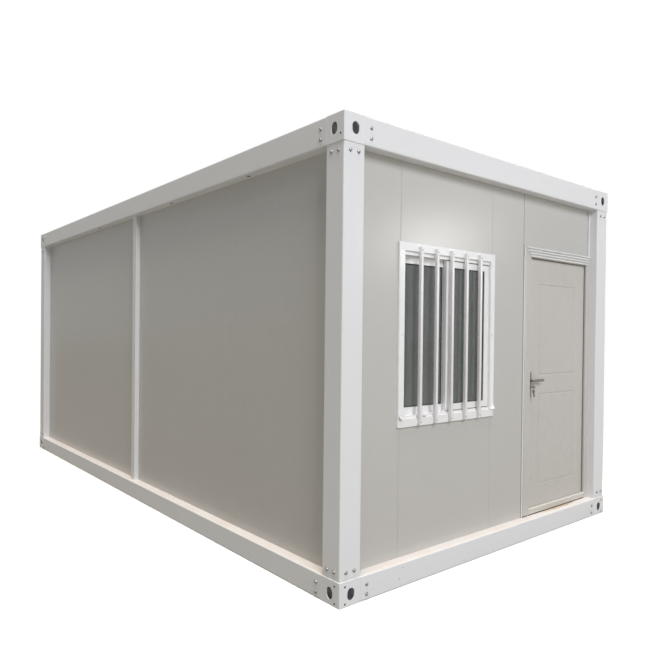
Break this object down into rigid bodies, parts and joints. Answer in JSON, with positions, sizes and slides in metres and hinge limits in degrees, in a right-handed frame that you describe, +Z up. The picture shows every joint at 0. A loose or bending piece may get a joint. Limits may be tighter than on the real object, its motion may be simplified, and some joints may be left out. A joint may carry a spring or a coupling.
{
  "type": "container site office",
  "caption": "Flat-pack container site office: white steel corner-post frame with lifting slots, grey insulated panel walls, a barred sliding window and a lever-handled hinged door.",
  "frame": {"origin": "middle of the base, on the ground plane under the bottom corner fittings", "axes": "+Z up, +Y along the length from the end wall with the door and window to the rear wall, +X towards the door side"},
  "size_m": [3, 6, 2.75],
  "materials": {
    "frame_paint": "gloss white paint",
    "wall_panel": "satin light warm grey coated steel skin",
    "trim_paint": "satin white paint",
    "joist_paint": "galvanised steel",
    "floor_board": "vinyl sheet on board",
    "ceiling_sheet": "white coated steel sheet",
    "roof_sheet": "coated ribbed steel sheet",
    "window_plastic": "white extruded plastic",
    "window_glass": "clear glass",
    "door_paint": "satin off-white powder coat",
    "threshold_steel": "brushed stainless steel",
    "hinge_steel": "zinc plated steel",
    "handle_steel": "dark satin steel",
    "lock_brass": "satin brass"
  },
  "bodies": {
    "cabin": {"bottom_fitting_front_left": "frame_paint", "top_fitting_front_left": "frame_paint", "post_front_left": "frame_paint", "bottom_fitting_front_right": "frame_paint", "top_fitting_front_right": "frame_paint", "post_front_right": "frame_paint", "bottom_fitting_rear_left": "frame_paint", "top_fitting_rear_left": "frame_paint", "post_rear_left": "frame_paint", "bottom_fitting_rear_right": "frame_paint", "top_fitting_rear_right": "frame_paint", "post_rear_right": "frame_paint", "floor_beam_front": "frame_paint", "roof_beam_front": "frame_paint", "floor_beam_rear": "frame_paint", "roof_beam_rear": "frame_paint", "floor_beam_left": "frame_paint", "roof_beam_left": "frame_paint", "floor_beam_right": "frame_paint", "roof_beam_right": "frame_paint", "floor_joists": "joist_paint", "floor_deck": "floor_board", "ceiling": "ceiling_sheet", "roof_sheet": "roof_sheet", "left_wall_front": "wall_panel", "left_wall_rear": "wall_panel", "left_batten": "trim_paint", "right_wall_front": "wall_panel", "right_wall_rear": "wall_panel", "right_batten": "trim_paint", "rear_panel_1": "wall_panel", "rear_panel_2": "wall_panel", "rear_panel_3": "wall_panel", "front_panel_corner": "wall_panel", "front_panel_under_window": "wall_panel", "front_panel_over_window": "wall_panel", "front_panel_middle": "wall_panel", "front_panel_over_door": "wall_panel", "end_trim": "trim_paint", "door_side_trim": "door_paint", "window_frame": "window_plastic", "window_sash_left": "window_plastic", "window_sash_right": "window_plastic", "window_panes": "window_glass", "door_frame": "door_paint", "door_threshold": "threshold_steel", "hinge_fixed_flags": "hinge_steel"},
    "door": {"door_leaf": "door_paint", "hinge_moving_flags": "hinge_steel", "handle_plates": "handle_steel", "lock_cylinder": "lock_brass"},
    "lever": {"lever_handle": "handle_steel"}
  },
  "joints": [
    {"name": "door_swing", "type": "hinge", "parent": "cabin", "child": "door", "pos_m": [1.2925, -2.866, 1.152], "axis": [0, 0, -1], "range_deg": [0, 90]},
    {"name": "lever_turn", "type": "hinge", "parent": "door", "child": "lever", "pos_m": [0.473, -2.895, 1.176], "axis": [0, 1, 0], "range_deg": [0, 40], "stiffness_Nm_per_rad": 1, "springref_deg": -34.38}
  ]
}
